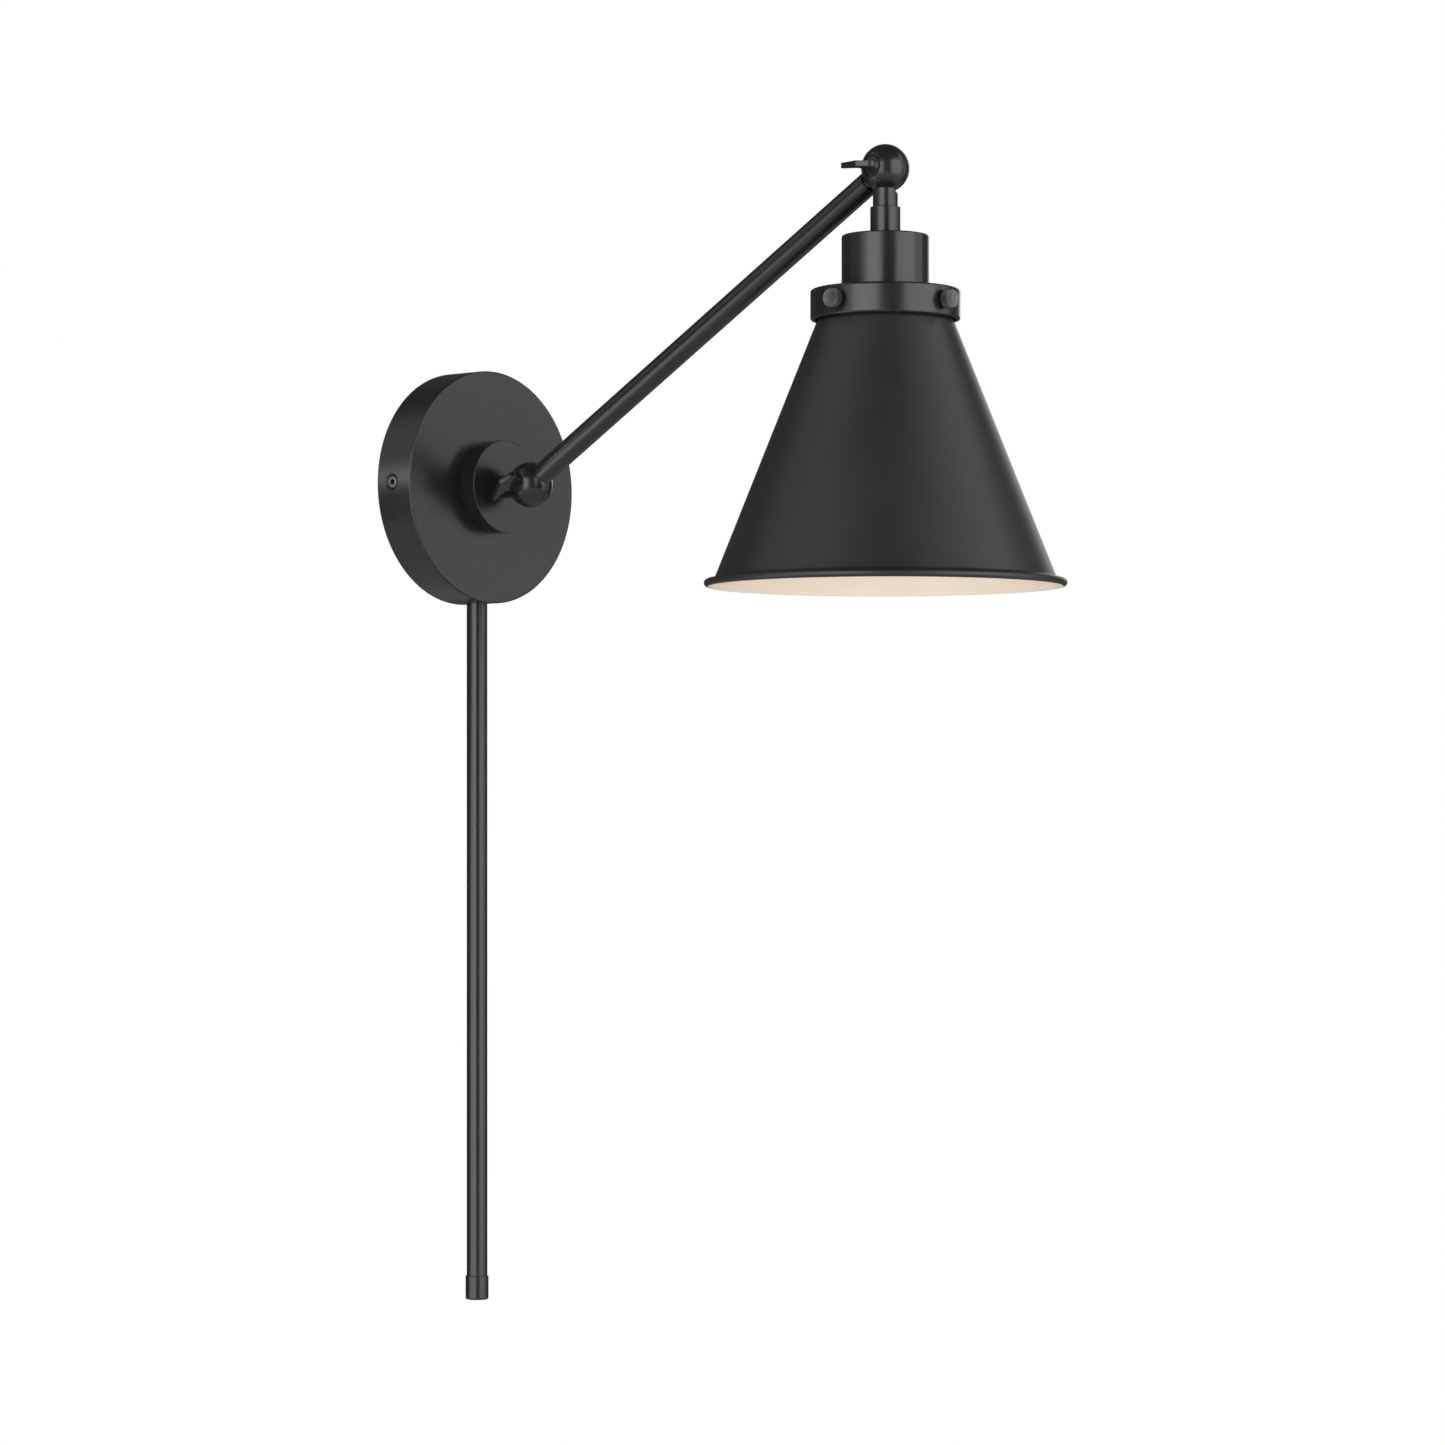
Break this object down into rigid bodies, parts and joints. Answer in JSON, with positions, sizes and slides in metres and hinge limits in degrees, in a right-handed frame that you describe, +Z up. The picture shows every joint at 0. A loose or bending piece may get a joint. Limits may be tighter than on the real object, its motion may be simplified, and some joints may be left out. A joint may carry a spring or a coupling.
{
  "type": "swing arm wall sconce",
  "caption": "Wall sconce: round canopy with a hub swivel, straight arm between split-ball joints with flat keys, cone shade in a fitter ring, and a straight cord cover below.",
  "frame": {"origin": "centre of the canopy's rear face, on the wall, midway between the crossbar's two box-screw holes", "axes": "+Y into the wall, so the lamp reaches out along -Y; +Z up; +X to the right of someone facing the wall"},
  "size_m": [0.1748, 0.3754, 0.5746],
  "materials": {
    "zinc_steel": "bright zinc plate",
    "green_screw": "green plated",
    "satin_black": "satin black powder coat",
    "black_screw": "black oxide, satin",
    "brass_nut": "plain turned brass",
    "lead_insulation": "white insulation",
    "splice_plastic": "natural nylon",
    "washer_nylon": "black nylon",
    "porcelain": "glazed porcelain",
    "brass_shell": "rolled brass",
    "shade_enamel": "matt black outside, cream enamel inside"
  },
  "bodies": {
    "base": {"mounting_bracket": "zinc_steel", "ground_screw": "green_screw", "backplate": "satin_black", "side_screws": "black_screw", "hub": "satin_black", "cover_adapter": "satin_black", "cover_locknut": "brass_nut", "cord_cover_tube": "satin_black", "cover_end_cap": "satin_black", "base_leads": "lead_insulation", "splice_caps": "splice_plastic"},
    "swivel": {"swivel_neck": "satin_black", "swivel_washer": "washer_nylon", "swivel_nut": "brass_nut", "swivel_leads": "lead_insulation"},
    "arm": {"lower_arm_ball": "satin_black", "lower_friction_washer": "washer_nylon", "lower_spring_washer": "zinc_steel", "arm_tube": "satin_black", "arm_leads": "lead_insulation", "upper_arm_ball": "satin_black"},
    "head": {"upper_head_ball": "satin_black", "upper_friction_washer": "washer_nylon", "upper_spring_washer": "zinc_steel", "neck_collar": "satin_black", "socket_cup": "satin_black", "socket_locknut": "brass_nut", "socket_body": "porcelain", "screw_shell": "brass_shell", "centre_contact": "brass_shell", "socket_retainer": "porcelain", "head_leads": "lead_insulation", "shade_ring": "satin_black", "shade": "shade_enamel"},
    "lower_key": {"lower_key": "satin_black"},
    "upper_key": {"upper_key": "satin_black"},
    "thumb_right": {"thumb_screw_right": "black_screw"},
    "thumb_front": {"thumb_screw_front": "black_screw"},
    "thumb_left": {"thumb_screw_left": "black_screw"},
    "thumb_back": {"thumb_screw_back": "black_screw"}
  },
  "joints": [
    {"name": "hub_swivel", "type": "hinge", "parent": "base", "child": "swivel", "pos_m": [0, -0.0507, 0], "axis": [0, 1, 0], "range_deg": [-90, 90]},
    {"name": "arm_tilt", "type": "hinge", "parent": "swivel", "child": "arm", "pos_m": [0, -0.0507, 0], "axis": [-1, 0, 0], "range_deg": [-75, 45]},
    {"name": "head_tilt", "type": "hinge", "parent": "arm", "child": "head", "pos_m": [0, -0.28799, 0.13978], "axis": [-1, 0, 0], "range_deg": [-5, 100]},
    {"name": "lower_key_turn", "type": "hinge", "parent": "arm", "child": "lower_key", "pos_m": [0, -0.0507, 0], "axis": [-1, 0, 0], "range_deg": [-360, 0]},
    {"name": "upper_key_turn", "type": "hinge", "parent": "head", "child": "upper_key", "pos_m": [0, -0.28799, 0.13978], "axis": [-1, 0, 0], "range_deg": [-360, 0]},
    {"name": "thumb_turn_right", "type": "hinge", "parent": "head", "child": "thumb_right", "pos_m": [0, -0.28799, 0.07393], "axis": [1, 0, 0], "range_deg": [-720, 0]},
    {"name": "thumb_turn_front", "type": "hinge", "parent": "head", "child": "thumb_front", "pos_m": [0, -0.28799, 0.07393], "axis": [0, -1, 0], "range_deg": [-720, 0]},
    {"name": "thumb_turn_left", "type": "hinge", "parent": "head", "child": "thumb_left", "pos_m": [0, -0.28799, 0.07393], "axis": [-1, 0, 0], "range_deg": [-720, 0]},
    {"name": "thumb_turn_back", "type": "hinge", "parent": "head", "child": "thumb_back", "pos_m": [0, -0.28799, 0.07393], "axis": [0, 1, 0], "range_deg": [-720, 0]}
  ]
}
